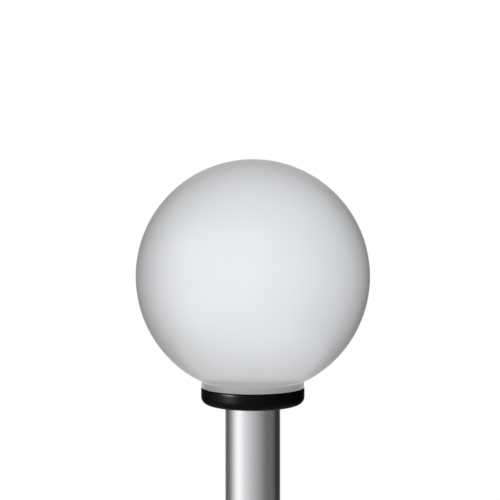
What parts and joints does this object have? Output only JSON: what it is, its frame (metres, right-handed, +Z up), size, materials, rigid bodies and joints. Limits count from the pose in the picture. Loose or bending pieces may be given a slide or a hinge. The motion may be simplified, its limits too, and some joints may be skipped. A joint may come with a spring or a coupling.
{
  "type": "globe post top light",
  "caption": "Garden post light: a satin opal globe with a short neck in a low black collar, on a round satin aluminium post with a flanged foot for the ground bolts.",
  "frame": {"origin": "on the ground, at the middle of the underside of the foot", "axes": "+Z up the axis of the post; the ground bolts lie on the diagonals between X and Y; the picture looks along +Y"},
  "size_m": [0.25, 0.2498, 0.8],
  "materials": {
    "opal_acrylic": "satin",
    "black_plastic": "satin",
    "post_aluminium": "satin, brushed along the post",
    "cast_aluminium": "as cast, machined on top",
    "steel": "zinc plated",
    "brass": "bright",
    "rubber": "matt",
    "porcelain": "glazed",
    "lamp_glass": "opal bulb with a bright cap",
    "block_plastic": "matt",
    "brown_insulation": "satin",
    "blue_insulation": "satin",
    "green_insulation": "satin"
  },
  "bodies": {
    "root": {"foot": "cast_aluminium", "foot_set_screws": "steel", "post": "post_aluminium", "head_plug": "cast_aluminium", "post_gasket": "rubber", "collar": "black_plastic", "cable_grommet": "rubber", "globe_gasket": "rubber", "globe": "opal_acrylic", "clamp_ring": "steel", "clamp_screws": "steel", "holder_bracket": "steel", "bracket_screws": "steel", "holder_body": "porcelain", "holder_screws": "steel", "holder_terminals": "brass", "terminal_grub_screws": "steel", "screw_shell": "brass", "centre_contact": "brass", "lamp": "lamp_glass", "terminal_block": "block_plastic", "terminal_sleeves": "brass", "terminal_screws": "steel", "block_screw": "steel", "earth_screw": "steel", "earth_washer": "steel", "earth_tag": "brass", "live_lead": "brown_insulation", "neutral_lead": "blue_insulation", "earth_lead": "green_insulation"}
  },
  "joints": []
}
